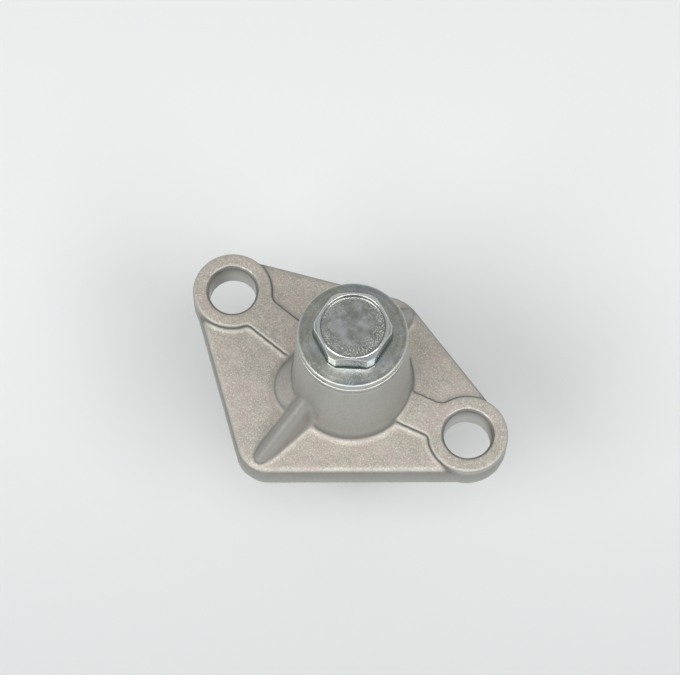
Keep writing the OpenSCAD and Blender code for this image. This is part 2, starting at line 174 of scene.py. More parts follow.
# Linear colours
CAST_DARK = (0.370, 0.338, 0.290)
CAST_LIGHT = (0.610, 0.560, 0.484)
CAST_ROSE = (0.520, 0.430, 0.395)
CAST_MOSS = (0.430, 0.425, 0.345)
CAST_SIDE_DARK = (0.366, 0.368, 0.346)
CAST_SIDE_LIGHT = (0.448, 0.449, 0.425)
CAST_RIB_TOP_SHADE = (0.190, 0.185, 0.172)
CAST_RIB_FLANK = (0.350, 0.341, 0.318)
CAST_SHADE = (0.170, 0.158, 0.142)
CAST_GLINT_SPECK = (0.740, 0.710, 0.650)
CAST_HIGHLIGHT_AND_WEAR = (0.680, 0.645, 0.585)
MACHINED_DARK = (0.370, 0.360, 0.336)
MACHINED_LIGHT = (0.530, 0.516, 0.486)
MACHINED_SHADE = (0.160, 0.150, 0.135)
ZINC_DARK = (0.410, 0.415, 0.386)
ZINC_LIGHT = (0.630, 0.638, 0.610)
ZINC_GREEN = (0.475, 0.480, 0.402)
ZINC_BLUE = (0.450, 0.485, 0.520)
ZINC_SPECK_AND_SHADE = (0.290, 0.335, 0.362)
ZINC_HIGHLIGHT = (0.740, 0.755, 0.755)
ZINC_RECESS_SHADE = (0.115, 0.128, 0.135)
FORGED_DARK = (0.300, 0.303, 0.280)
FORGED_MID = (0.545, 0.556, 0.565)
FORGED_GLINT = (0.850, 0.845, 0.800)
ROLLED_DARK = (0.450, 0.455, 0.450)
ROLLED_LIGHT = (0.610, 0.610, 0.596)
STEEL_DARK = (0.390, 0.390, 0.400)
STEEL_LIGHT = (0.570, 0.570, 0.580)
STEEL_OIL = (0.380, 0.365, 0.340)
WIRE_DARK = (0.080, 0.080, 0.088)
WIRE_LIGHT = (0.200, 0.200, 0.215)
OXIDE_DARK = (0.022, 0.022, 0.024)
OXIDE_LIGHT = (0.070, 0.068, 0.070)
FLOOR_NEAR = (0.690, 0.706, 0.700)
FLOOR_FAR = (0.905, 0.917, 0.910)
BACKDROP_COLOUR = (0.800, 0.812, 0.805)
CEILING_COLOUR = (0.390, 0.400, 0.400)
ROOM_COLOUR = (0.060, 0.064, 0.066)
AMBIENT_COLOUR = (0.950, 0.980, 1.000)

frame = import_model()


def picture_axes():
    """Right, up and view directions of the photograph, in the part's frame."""
    angles = (CAMERA_TILT_DEG, CAMERA_AZIMUTH_DEG, CAMERA_ROLL_DEG)
    tilt, turn, roll = (math.radians(angle) for angle in angles)
    right = Vector((math.cos(turn), math.sin(turn), 0))
    away = Vector((-math.sin(turn), math.cos(turn), 0))
    view = away * math.sin(tilt) - Vector((0, 0, math.cos(tilt)))
    up = right.cross(view)
    rolled_right = right * math.cos(roll) + up * math.sin(roll)
    rolled_up = up * math.cos(roll) - right * math.sin(roll)
    return rolled_right, rolled_up, view


class Nodes:
    """The node tree of a material or a world, with one short call per node."""

    def __init__(self, owner):
        owner.use_nodes = True
        self.tree = owner.node_tree

    def node(self, kind, **settings):
        made = self.tree.nodes.new(kind)
        for key, value in settings.items():
            setattr(made, key, value)
        return made

    def feed(self, socket, value):
        """Links an output to a socket, or sets the socket to a plain value."""
        if isinstance(value, bpy.types.NodeSocket):
            self.tree.links.new(value, socket)
        elif isinstance(value, tuple) and len(value) == 3 and len(socket.default_value) == 4:
            socket.default_value = (*value, 1)
        else:
            socket.default_value = value

    def height_of(self, vector):
        parts = self.node("ShaderNodeSeparateXYZ")
        self.feed(parts.inputs[0], vector)
        return parts.outputs["Z"]

    def reach(self, vector, direction):
        """How far a vector reaches in one direction."""
        made = self.node("ShaderNodeVectorMath", operation="DOT_PRODUCT")
        self.feed(made.inputs[0], vector)
        self.feed(made.inputs[1], tuple(direction))
        return made.outputs["Value"]

    def span(self, value, low, high, to_low=0.0, to_high=1.0):
        """Stretches a value's range, clamped at both ends."""
        made = self.node("ShaderNodeMapRange")
        self.feed(made.inputs["Value"], value)
        self.feed(made.inputs["From Min"], low)
        self.feed(made.inputs["From Max"], high)
        self.feed(made.inputs["To Min"], to_low)
        self.feed(made.inputs["To Max"], to_high)
        return made.outputs["Result"]

    def calculate(self, operation, a, b):
        made = self.node("ShaderNodeMath", operation=operation)
        self.feed(made.inputs[0], a)
        self.feed(made.inputs[1], b)
        return made.outputs[0]

    def both(self, a, b):
        """Product of two masks: where one and the other hold."""
        return self.calculate("MULTIPLY", a, b)

    def either(self, a, b):
        """The larger of two masks: where one or the other holds."""
        return self.calculate("MAXIMUM", a, b)

    def mix(self, factor, a, b):
        """Colour a where the factor is 0, colour b where it is 1."""
        made = self.node("ShaderNodeMix", data_type="RGBA")
        self.feed(made.inputs["Factor"], factor)
        self.feed(made.inputs[6], a)
        self.feed(made.inputs[7], b)
        return made.outputs[2]

    def layers(self, body, *layers):
        """A colour under (mask, colour) layers, each on top of the one before."""
        for mask, colour in layers:
            body = self.mix(mask, body, colour)
        return body

    def choose(self, factor, a, b):
        """Shader a where the factor is 0, shader b where it is 1."""
        made = self.node("ShaderNodeMixShader")
        self.feed(made.inputs["Fac"], factor)
        self.feed(made.inputs[1], a)
        self.feed(made.inputs[2], b)
        return made.outputs["Shader"]


class Shader(Nodes):
    """A procedural material on a Principled shader."""

    def __init__(self, name, metallic, roughness):
        self.material = bpy.data.materials.new(name)
        super().__init__(self.material)
        self.bsdf = self.tree.nodes["Principled BSDF"]
        self.feed(self.bsdf.inputs["Metallic"], metallic)
        self.feed(self.bsdf.inputs["Roughness"], roughness)
        self.place = self.node("ShaderNodeTexCoord").outputs["Object"]

    def noise(self, size, detail=2.0, roughness=0.5):
        """Cloudy noise whose blobs are about that many metres across."""
        made = self.node("ShaderNodeTexNoise")
        self.feed(made.inputs["Vector"], self.place)
        self.feed(made.inputs["Scale"], 1 / size)
        self.feed(made.inputs["Detail"], detail)
        self.feed(made.inputs["Roughness"], roughness)
        return made.outputs["Fac"]

    def noise_along(self, value, size, detail=3.0):
        """Noise that changes with one value only, about once in that size."""
        made = self.node("ShaderNodeTexNoise", noise_dimensions="1D")
        self.feed(made.inputs["W"], value)
        self.feed(made.inputs["Scale"], 1 / size)
        self.feed(made.inputs["Detail"], detail)
        return made.outputs["Fac"]

    def height(self):
        return self.height_of(self.place)

    def radius(self):
        """Distance from the part's axis."""
        flat = self.node("ShaderNodeVectorMath", operation="MULTIPLY")
        self.feed(flat.inputs[0], self.place)
        self.feed(flat.inputs[1], (1, 1, 0))
        made = self.node("ShaderNodeVectorMath", operation="LENGTH")
        self.feed(made.inputs[0], flat.outputs["Vector"])
        return made.outputs["Value"]

    def lines(self, size):
        """Fine tool lines square to the part's axis, about that many metres apart."""
        return self.noise_along(self.height(), size)

    def rings(self, size):
        """Fine tool lines around the part's axis, about that many metres apart."""
        return self.noise_along(self.radius(), size)

    def along(self, direction):
        """How far a place is from the part's origin in one direction."""
        return self.reach(self.place, direction)

    def facing_up(self):
        """1 on level faces that look up, 0 on upright ones."""
        return self.height_of(self.node("ShaderNodeTexCoord").outputs["Normal"])

    def attribute(self, name):
        """A number that is painted on the mesh's points."""
        return self.node("ShaderNodeAttribute", attribute_name=name).outputs["Fac"]

    def colour(self, value):
        self.feed(self.bsdf.inputs["Base Color"], value)

    def roughness(self, value, low, high):
        """Roughness that follows a noise, between two values."""
        self.feed(self.bsdf.inputs["Roughness"], self.span(value, *NOISE_SPAN, low, high))

    def clear_from_below(self):
        """Lets a sheet be seen from above only, so that it doesn't hide what stands on it."""
        clear = self.node("ShaderNodeBsdfTransparent").outputs["BSDF"]
        below = self.node("ShaderNodeNewGeometry").outputs["Backfacing"]
        surface = self.choose(below, self.bsdf.outputs["BSDF"], clear)
        self.feed(self.tree.nodes["Material Output"].inputs["Surface"], surface)

    def bumps(self, *layers):
        """Relief from (height, metres) layers, each on top of the one before."""
        normal = None
        for height, distance in layers:
            bump = self.node("ShaderNodeBump")
            self.feed(bump.inputs["Distance"], distance)
            self.feed(bump.inputs["Height"], height)
            if normal is not None:
                self.feed(bump.inputs["Normal"], normal)
            normal = bump.outputs["Normal"]
        self.feed(self.bsdf.inputs["Normal"], normal)


def blasted_skin(s, grain, cloud):
    """Warm skin of level faces: grain in light and dark patches, two tints, bright specks that
    are painted glints.
    """
    patch = s.noise(1.3 * MM, detail=3, roughness=0.6)
    return s.layers(
        s.mix(s.span(grain, 0.38, 0.62), CAST_DARK, CAST_LIGHT),
        (s.span(patch, 0.5, 0.7, 0, 0.5), CAST_LIGHT),
        (s.span(patch, 0.5, 0.3, 0, 0.5), CAST_DARK),
        (s.span(cloud, 0.45, 0.65, 0, 0.6), CAST_ROSE),
        (s.span(cloud, 0.46, 0.3, 0, 0.3), CAST_MOSS),
        # Bright specks: painted glints on the blasted grain
        (s.span(s.noise(0.24 * MM), 0.55, 0.68, 0, 0.8), CAST_GLINT_SPECK),
    )


def painted_slope_shade(s, level, edge, rib):
    """Mask of painted shade on sloped faces, weaker on the ribs and left out in sharp inner
    corners.
    """
    sloped = s.both(s.span(level, 0.8, 0.6), s.span(level, 0.25, 0.5, 0, 0.7))
    sloped = s.both(sloped, s.span(rib, 0, 1, 1, 0.25))
    return s.both(sloped, s.span(edge, -0.4, -0.2))


def painted_rim_shade(s, level):
    """Mask of painted shade on the plate's upright rim, strongest a little below its upper edge.
    """
    height = s.height()
    upper = s.span(height, PLATE_TOP, RIM_SHADE, 0, 1)
    lower = s.span(height, RIM_SHADE, RIM_FOOT, 0.5, 0.1)
    return s.both(s.span(level, 0.6, 0.3), s.both(upper, lower))


def cast_aluminium():
    """Shot-blasted die casting: warm level faces, grey upright ones, painted shade on slopes,
    steps, the rim and the rib crests, painted highlights at the feet of steps, and light edges
    that are partly wear and partly painted highlight.
    """
    s = Shader("cast_aluminium", metallic=0.35, roughness=0.5)
    grain = s.noise(0.2 * MM, detail=3, roughness=0.65)
    cloud = s.noise(4 * MM, detail=4, roughness=0.6)
    side_grain = s.noise(0.35 * MM, detail=4, roughness=0.65)
    level, edge, rib = s.facing_up(), s.attribute("edge"), s.attribute("rib")
    # Upright faces: a greyer tone that is partly their own and partly painted shade
    side = s.mix(s.span(side_grain, 0.36, 0.64), CAST_SIDE_DARK, CAST_SIDE_LIGHT)
    # Walls of small steps: painted shade
    step = s.both(s.span(level, 0.92, 0.7, 0, 0.8), s.attribute("step"))
    # Feet of steps on level faces: a painted highlight
    foot = s.both(s.span(level, 0.72, 0.9), s.span(edge, -0.1, -0.4, 0, 0.25))
    # Ribs and the ledge: painted shade on the level crest, lighter flanks
    rib_painted_shade = s.mix(s.span(level, 0.65, 0.95), CAST_RIB_FLANK, CAST_RIB_TOP_SHADE)
    s.colour(s.layers(
        blasted_skin(s, grain, cloud),
        (s.span(level, 0.96, 0.75, 0, 0.85), side),
        (painted_slope_shade(s, level, edge, rib), CAST_SHADE),
        (step, CAST_SHADE),
        (painted_rim_shade(s, level), CAST_SHADE),
        (foot, CAST_HIGHLIGHT_AND_WEAR),
        # Convex edges lighter: partly wear, partly painted highlight
        (s.span(edge, 0.15, 0.6, 0, 0.35), CAST_HIGHLIGHT_AND_WEAR),
        (s.span(rib, 0, 1, 0, 0.8), rib_painted_shade),
    ))
    s.roughness(cloud, 0.46, 0.58)
    s.bumps((s.noise(1.1 * MM), 0.03 * MM), (grain, 0.02 * MM))
    return s.material


def machined_aluminium():
    """Bored, drilled and faced places of the casting, with tool lines, and painted shade on the
    chamfers and in the mouths of the drilled holes.
    """
    s = Shader("machined_aluminium", metallic=0.8, roughness=0.35)
    level = s.facing_up()
    # Painted shade on the sloped chamfers and just inside the mouths of the holes
    chamfer_shade = s.both(s.span(level, 0.15, 0.4), s.span(level, 0.97, 0.85, 0, 0.3))
    near_top = s.span(s.height(), 0.55 * PLATE_TOP, PLATE_TOP, 0, 0.55)
    hole_mouth_shade = s.both(near_top, s.span(level, 0.4, 0.2))
    hole_mouth_shade = s.both(hole_mouth_shade, s.span(s.radius(), 1.2 * BORE_R, 1.5 * BORE_R))
    body = s.mix(s.span(s.lines(0.12 * MM), *NOISE_SPAN), MACHINED_DARK, MACHINED_LIGHT)
    s.colour(s.mix(s.either(chamfer_shade, hole_mouth_shade), body, MACHINED_SHADE))
    s.roughness(s.noise(2 * MM, detail=3), 0.28, 0.42)
    s.bumps((s.lines(0.1 * MM), 0.006 * MM), (s.noise(0.2 * MM), 0.004 * MM))
    return s.material


def zinc_plating():
    """Bright zinc over a forged head: turned streaks, tints, dark specks, painted glints, painted
    shade and reflection on the flanks, painted highlights on the edges, and painted shade in the
    inner corners below the dish.
    """
    s = Shader("zinc_plating", metallic=1.0, roughness=0.3)
    streak = s.rings(0.5 * MM)
    level, edge = s.facing_up(), s.attribute("edge")
    flat = s.span(level, 0.9, 0.98)
    rim = s.span(s.radius(), 0.86 * FLANGE_R, 0.94 * FLANGE_R)
    tint = s.mix(s.span(s.noise(4.5 * MM), 0.5, 0.66), ZINC_GREEN, ZINC_BLUE)
    speck = s.span(s.noise(0.3 * MM, detail=3), 0.35, 0.5, 0.4, 0)
    glint = s.span(s.noise(0.24 * MM, detail=3), 0.58, 0.68, 0, 0.7)
    # Upright flanks of the head: painted shade with a bluish painted reflection
    flank_shade = s.both(s.span(rim, 0, 1, 1, 0.1), s.span(level, 0.75, 0.35, 0, 0.6))
    # Convex edges away from the rim: painted highlight
    edge_highlight = s.both(s.span(rim, 0, 1, 1, 0.3), s.span(edge, 0.1, 0.3, 0, 0.85))
    dish_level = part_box("seal_bolt")[1].z - DISH_DEPTH
    below_dish = s.span(
        s.height(), dish_level - RECESS_START, dish_level - RECESS_FULL, 0.35, 1)
    s.colour(s.layers(
        s.mix(s.span(streak, *NOISE_SPAN), ZINC_DARK, ZINC_LIGHT),
        (0.6, tint),
        (s.both(flat, speck), ZINC_SPECK_AND_SHADE),
        (s.both(flat, glint), ZINC_HIGHLIGHT),
        (flank_shade, ZINC_SPECK_AND_SHADE),
        (edge_highlight, ZINC_HIGHLIGHT),
        # Inner corners below the dish: painted shade
        (s.both(below_dish, s.span(edge, -0.12, -0.38, 0, 0.68)), ZINC_RECESS_SHADE),
    ))
    cloud = s.noise(2.5 * MM, detail=4, roughness=0.6)
    dull_rim = s.both(rim, s.span(edge, 0.05, 0.25))
    s.roughness(s.either(s.both(cloud, s.span(flat, 0, 1, 0.6, 1)), dull_rim), 0.16, 0.42)
    s.bumps((s.noise(0.9 * MM, detail=3), 0.012 * MM), (streak, 0.005 * MM))
    return s.material


def forged_zinc():
    """Floor of the bolt head's dish: dull in the middle, with bright specks towards its rim that
    are painted glints, strongest on the side towards the front.
    """
    s = Shader("forged_zinc", metallic=1.0, roughness=0.36)
    speck = s.noise(0.2 * MM, detail=3, roughness=0.6)
    rim = s.span(s.radius(), 0.45 * DISH_R, 0.85 * DISH_R, 0.15, 1)
    # Side of the dish where the painted glints are strongest
    right, up, _ = picture_axes()
    front = 0.25 * right - up
    glint_side = s.span(s.along((front.x, front.y, 0)), -0.4 * DISH_R, 0.4 * DISH_R, 0.3, 1)
    s.colour(s.layers(
        s.mix(s.span(s.noise(1.4 * MM, detail=3), 0.35, 0.65), FORGED_DARK, FORGED_MID),
        (s.span(rim, 0, 1, 0, 0.5), FORGED_DARK),
        (s.both(s.span(speck, 0.52, 0.62), s.both(rim, glint_side)), FORGED_GLINT),
    ))
    s.roughness(speck, 0.3, 0.46)
    s.bumps((s.both(speck, rim), 0.045 * MM), (s.noise(0.12 * MM), 0.006 * MM))
    return s.material


def rolled_washer():
    """Smooth rolled ring with a faintly scored rim."""
    s = Shader("rolled_washer", metallic=1.0, roughness=0.32)
    lines = s.lines(0.1 * MM)
    body = s.mix(s.span(s.rings(0.3 * MM), *NOISE_SPAN), ROLLED_DARK, ROLLED_LIGHT)
    s.colour(s.mix(s.span(s.noise(1.5 * MM, detail=4), 0.4, 0.7, 0, 0.4), body, ROLLED_DARK))
    s.roughness(lines, 0.34, 0.5)
    s.bumps((lines, 0.01 * MM), (s.noise(0.3 * MM), 0.006 * MM))
    return s.material


def turned_steel(name, tool_lines):
    """Bare steel with tool lines around the axis and a little oil staining."""
    s = Shader(name, metallic=1.0, roughness=0.3)
    lines = s.lines(tool_lines)
    rings = s.rings(tool_lines)
    stain = s.noise(3 * MM, detail=5, roughness=0.6)
    s.colour(s.layers(
        s.mix(s.span(lines, *NOISE_SPAN), STEEL_DARK, STEEL_LIGHT),
        (s.span(rings, 0.35, 0.65, 0, 0.5), STEEL_LIGHT),
        (s.span(stain, 0.5, 0.7, 0, 0.45), STEEL_OIL),
    ))
    s.roughness(stain, 0.28, 0.4)
    s.bumps((lines, 0.012 * MM), (rings, 0.012 * MM), (s.noise(0.25 * MM), 0.002 * MM))
    return s.material


def drawn_wire():
    """Dark oil-tempered spring wire, with the die's streaks along it and a few stains."""
    s = Shader("drawn_wire", metallic=0.9, roughness=0.4)
    streak = s.noise_along(s.attribute("around"), 0.3)
    stain = s.noise(0.9 * MM, detail=4, roughness=0.65)
    body = s.mix(s.span(streak, 0.35, 0.65), WIRE_DARK, WIRE_LIGHT)
    s.colour(s.mix(s.span(stain, 0.5, 0.75, 0, 0.5), body, WIRE_DARK))
    s.roughness(stain, 0.3, 0.46)
    s.bumps((streak, 0.012 * MM), (stain, 0.004 * MM))
    return s.material


def black_oxide():
    """Blackened steel, rubbed a little lighter in patches."""
    s = Shader("black_oxide", metallic=0.85, roughness=0.42)
    patch = s.noise(1.6 * MM, detail=5, roughness=0.65)
    s.colour(s.mix(s.span(patch, 0.4, 0.75), OXIDE_DARK, OXIDE_LIGHT))
    s.roughness(patch, 0.34, 0.52)
    s.bumps((s.lines(0.1 * MM), 0.008 * MM), (patch, 0.01 * MM))
    return s.material


def floor_sheet():
    """Pale matt sheet with painted light, lighter towards the back of the picture."""
    s = Shader("floor_sheet", metallic=0.0, roughness=0.5)
    s.colour(s.mix(s.span(s.along(picture_axes()[1]), *FLOOR_FADE), FLOOR_NEAR, FLOOR_FAR))
    s.clear_from_below()
    return s.material


def put(name, data):
    """A new object in the scene."""
    obj = bpy.data.objects.new(name, data)
    bpy.context.scene.collection.objects.link(obj)
    return obj


def apply_modifiers(obj):
    """Gives an object the mesh that its modifiers make."""
    before = obj.data
    depsgraph = bpy.context.evaluated_depsgraph_get()
    obj.data = bpy.data.meshes.new_from_object(obj.evaluated_get(depsgraph))
    obj.modifiers.clear()
    bpy.data.meshes.remove(before)
    obj.data.name = obj.name


def remeshed_copy(node, name, voxel):
    """A new object with an even mesh over a CAD node's shape."""
    raw = bmesh.new()
    raw.from_mesh(frame["nodes"][node].data)
    bmesh.ops.remove_doubles(raw, verts=raw.verts, dist=WELD_DISTANCE)
    mesh = bpy.data.meshes.new(name)
    raw.to_mesh(mesh)
    raw.free()
    obj = put(name, mesh)
    voxels = obj.modifiers.new("voxels", "REMESH")
    voxels.mode = "VOXEL"
    voxels.voxel_size = voxel
    apply_modifiers(obj)
    return obj


def thin_out(obj, triangles):
    """Merges triangles on the flat places until about that many are left."""
    count = sum(len(face.vertices) - 2 for face in obj.data.polygons)
    if count > triangles:
        obj.modifiers.new("thinner", "DECIMATE").ratio = triangles / count
        apply_modifiers(obj)


def points_of(mesh):
    points = np.empty(len(mesh.vertices) * 3)
    mesh.vertices.foreach_get("co", points)
    return points.reshape(-1, 3)


def normals_of(mesh):
    normals = np.empty(len(mesh.vertices) * 3)
    mesh.vertices.foreach_get("normal", normals)
    return normals.reshape(-1, 3)


def set_points(mesh, points):
    mesh.vertices.foreach_set("co", points.ravel())
    mesh.update()


class Neighbours:
    """Who is next to whom in a mesh, for averages over the surface."""

    def __init__(self, mesh):
        ends = np.empty(len(mesh.edges) * 2, np.int64)
        mesh.edges.foreach_get("vertices", ends)
        ends = ends.reshape(-1, 2)
        self.own = np.concatenate([ends[:, 0], ends[:, 1]])
        self.other = np.concatenate([ends[:, 1], ends[:, 0]])
        self.size = len(mesh.vertices)
        self.count = np.maximum(np.bincount(self.own, minlength=self.size), 1)

    def mean(self, values):
        return np.bincount(self.own, values[self.other], minlength=self.size) / self.count

    def mean_point(self, points):
        return np.stack([self.mean(points[:, axis]) for axis in range(3)], axis=1)

    def spread(self, values, passes, gain=1.0):
        """Lets high values reach out over the surface."""
        for _ in range(passes):
            values = np.maximum(values, gain * self.mean(values))
        return values


def soften(mesh, weight, passes):
    """Rounds edges and corners: each point moves towards its neighbours by its own weight."""
    near = Neighbours(mesh)
    points = points_of(mesh)
    for _ in range(passes):
        points += np.reshape(weight, (-1, 1)) * (near.mean_point(points) - points)
    set_points(mesh, points)


def edge_values(mesh, spacing, passes):
    """How far each point stands out: 1 for a sharp edge, -1 for a sharp inner corner."""
    near = Neighbours(mesh)
    points = points_of(mesh)
    rise = ((points - near.mean_point(points)) * normals_of(mesh)).sum(axis=1) / spacing
    for _ in range(passes):
        rise = 0.5 * rise + 0.5 * near.mean(rise)
    return (rise * EDGE_GAIN).clip(-1, 1)


def firm(values):
    """A mask of the clear values, without the faint ones."""
    return ((values - FAINT_MARK) / (CLEAR_MARK - FAINT_MARK)).clip(0, 1)


def fill_corners(mesh, spacing, also, passes):
    """Gives inner corners, and points chosen also, the soft radius that a die leaves there."""
    inner = firm(-edge_values(mesh, spacing, EDGE_PASSES))
    inner = Neighbours(mesh).spread(inner, CORNER_SPREAD)
    soften(mesh, CAST_SOFTNESS * np.maximum(inner, also), passes)


def step_values(mesh, edges):
    """1 on the walls of small steps, which have an edge and an inner corner close by."""
    near = Neighbours(mesh)
    outer = near.spread(edges.clip(0, 1), STEP_SPREAD, STEP_GAIN)
    inner = near.spread((-edges).clip(0, 1), STEP_SPREAD, STEP_GAIN)
    return firm(np.minimum(outer, inner))


def line_distance(x, y, start, end):
    """Distance of points from a straight line between two points, seen from above."""
    along = np.subtract(end, start)
    share = ((x - start[0]) * along[0] + (y - start[1]) * along[1]) / (along @ along)
    share = share.clip(0, 1)
    return np.hypot(x - start[0] - share * along[0], y - start[1] - share * along[1])


def sink_by_noise(mesh, size, depth, where):
    """Makes a surface uneven: points sink below it by up to depth."""
    points = points_of(mesh)
    normals = normals_of(mesh)
    amount = np.zeros(len(points))
    for i in np.flatnonzero(where):
        amount[i] = 0.5 + 0.5 * noise.noise(Vector(points[i] / size))
    points -= normals * (amount.clip(0, 1) * depth)[:, None]
    set_points(mesh, points)


def nearest_of(points, others):
    """For each of the other points, the index of the nearest point."""
    tree = kdtree.KDTree(len(points))
    for i, point in enumerate(points):
        tree.insert(point, i)
    tree.balance()
    return np.array([tree.find(other)[1] for other in others])


def paint(mesh, name, values):
    """Stores one number per point, for a material to read."""
    marks = mesh.attributes.new(name, "FLOAT", "POINT")
    marks.data.foreach_set("value", values.astype(np.float32))


def assign_second(mesh, first, second, chosen):
    """First material everywhere, second on the faces whose points are all chosen."""
    mesh.materials.clear()
    mesh.materials.append(first)
    mesh.materials.append(second)
    index = np.zeros(len(mesh.polygons), np.int32)
    for face in mesh.polygons:
        index[face.index] = all(chosen[v] for v in face.vertices)
    mesh.polygons.foreach_set("material_index", index)


def stand_for(obj, node, body):
    """Puts a smooth new piece in the place of a CAD node."""
    for face in obj.data.polygons:
        face.use_smooth = True
    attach(obj, body)
    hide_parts(node)


def drilled_places(x, y, z):
    """True in both mounting holes, above the mounting face."""
    inside = [np.hypot(x - cx, y - cy) < HOLE_R + HOLE_CHAMFER for cx, cy in HOLE_CENTRES]
    return np.any(inside, axis=0) & (z > NEAR_SURFACE)


def bored_places(x, y, z):
    """True in the bore, and on the mounting face and all that is below it."""
    in_bore = (np.hypot(x, y) < BORE_R + NEAR_SURFACE) & (z < BORE_END + NEAR_SURFACE)
    return in_bore | (z < NEAR_SURFACE)


def ledge_places(x, y, z):
    """True on the small ledge at the boss's foot, outside the boss."""
    near = np.hypot(x - LEDGE_CENTRE[0], y - LEDGE_CENTRE[1]) < LEDGE_R
    outside = np.hypot(x, y) > BOSS_R + NEAR_SURFACE
    return near & outside & (z > PLATE_TOP - NEAR_SURFACE)


def rib_values(x, y, z):
    """1 on the ribs above the plate, fading out where they run into the boss and the plate."""
    values = np.zeros(len(z))
    for start, end in RIB_LINES:
        past_crest = line_distance(x, y, start, end) - RIB_CREST * RIB_HALF_W
        on_rib = (1 - past_crest / ((1 - RIB_CREST) * RIB_HALF_W)).clip(0, 1)
        values = np.maximum(values, on_rib)
    outside = ((np.hypot(x, y) - BOSS_R + RIB_FADE) / (2 * RIB_FADE)).clip(0, 1)
    above = ((z - PLATE_TOP - RIB_START) / RIB_FADE).clip(0, 1)
    return values * outside * above


def housing_casting():
    """The die casting with soft cast edges; drilled, bored and faced places stay crisp."""
    obj = remeshed_copy("housing", "housing_casting", CASTING_VOXEL)
    dense = obj.data
    sharp = points_of(dense).T
    drilled, ledge = drilled_places(*sharp), ledge_places(*sharp)
    machined = drilled | bored_places(*sharp)
    softness = np.select(
        [drilled, machined], [DRILLED_SOFTNESS, MACHINED_SOFTNESS], CAST_SOFTNESS)
    soften(dense, softness, CAST_PASSES)
    fill_corners(dense, CASTING_VOXEL, ledge, CORNER_PASSES)
    for size, depth in CAST_WAVES:
        sink_by_noise(dense, size, depth, ~machined)
    dense_points = points_of(dense)
    edges = edge_values(dense, CASTING_VOXEL, EDGE_PASSES)
    marks = {
        "edge": edges,
        "rib": np.maximum(rib_values(*dense_points.T), LEDGE_GREY * ledge),
        "step": step_values(dense, edges),
    }
    thin_out(obj, CASTING_TRIANGLES)
    nearest = nearest_of(dense_points, points_of(obj.data))
    for name, values in marks.items():
        paint(obj.data, name, values[nearest])
    assign_second(obj.data, cast_aluminium(), machined_aluminium(), machined[nearest])
    stand_for(obj, "housing", "housing")


def plug_bolt():
    """The seal bolt with rounded forged edges and a rough dish in its head."""
    obj = remeshed_copy("seal_bolt", "plug_bolt", FINE_VOXEL)
    mesh = obj.data
    soften(mesh, STEEL_SOFTNESS, FORGED_PASSES)
    x, y, z = points_of(mesh).T
    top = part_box("seal_bolt")[1].z
    dished = np.hypot(x, y) < DISH_R - NEAR_SURFACE
    dished &= z > top - DISH_DEPTH - NEAR_SURFACE
    sink_by_noise(mesh, *DISH_WAVE, dished)
    paint(mesh, "edge", edge_values(mesh, FINE_VOXEL, FORGED_EDGE_PASSES))
    assign_second(mesh, zinc_plating(), forged_zinc(), dished)
    stand_for(obj, "seal_bolt", "housing")


def around_axis(angle, radius, z):
    return np.array((radius * math.cos(angle), radius * math.sin(angle), z))


def bend_points(start, corner, end):
    """Points of a smooth bend from start to end that cuts a corner short."""
    shares = np.linspace(0, 1, TANG_BEND_STEPS + 1)
    return [(1 - t) ** 2 * start + 2 * t * (1 - t) * corner + t ** 2 * end for t in shares]


def spring_path():
    """Middle line of the wire: inner tang, left-hand coils from top to foot, outer tang."""
    foot = math.radians(SPRING_FOOT_DEG)
    top = foot - 2 * math.pi * SPRING_TURNS
    bend = TANG_BEND / SPRING_R
    steps = round(SPRING_TURNS * SPRING_STEPS_PER_TURN)
    angles = np.linspace(top + bend, foot - bend, steps)
    levels = np.interp(angles, (top, foot), (SPRING_TOP, SPRING_FOOT))
    coils = [around_axis(angle, SPRING_R, z) for angle, z in zip(angles, levels)]
    inner_ends = (INNER_TANG_R, INNER_TANG_R + WIRE_END_EASE)
    outer_ends = (OUTER_TANG_R - WIRE_END_EASE, OUTER_TANG_R)
    inner_bend = bend_points(
        around_axis(top, SPRING_R - TANG_BEND, SPRING_TOP),
        around_axis(top, SPRING_R, SPRING_TOP),
        coils[0],
    )
    outer_bend = bend_points(
        coils[-1],
        around_axis(foot, SPRING_R, SPRING_FOOT),
        around_axis(foot, SPRING_R + TANG_BEND, SPRING_FOOT),
    )
    inner = [around_axis(top, radius, SPRING_TOP) for radius in inner_ends]
    outer = [around_axis(foot, radius, SPRING_FOOT) for radius in outer_ends]
    return np.array(inner + inner_bend + coils[1:-1] + outer_bend + outer)


def wound_spring():
    """The torsion spring as one smooth round wire."""
    path = spring_path()
    along = np.gradient(path, axis=0)
    side = np.cross(along, (0, 0, 1))
    up = np.cross(side, along)
    side, up = (v / np.linalg.norm(v, axis=1)[:, None] for v in (side, up))
    reach = np.full((len(path), 1), WIRE_R)
    reach[[0, -1]] -= WIRE_END_EASE
    turns = np.linspace(0, 2 * math.pi, WIRE_SIDES, endpoint=False)
    rings = [path + reach * (side * math.cos(turn) + up * math.sin(turn)) for turn in turns]
    points = np.stack(rings, axis=1).reshape(-1, 3)
    last = len(points) - 1
    faces = [tuple(range(WIRE_SIDES)), tuple(range(last, last - WIRE_SIDES, -1))]
    for first in range(0, len(points) - WIRE_SIDES, WIRE_SIDES):
        for k in range(WIRE_SIDES):
            a, b = first + k, first + (k + 1) % WIRE_SIDES
            faces.append((a, a + WIRE_SIDES, b + WIRE_SIDES, b))
    mesh = bpy.data.meshes.new("wound_spring")
    mesh.from_pydata(points.tolist(), [], faces)
    paint(mesh, "around", np.tile(np.cos(turns), len(path)))
    mesh.materials.append(drawn_wire())
    stand_for(put("wound_spring", mesh), "torsion_spring", "housing")


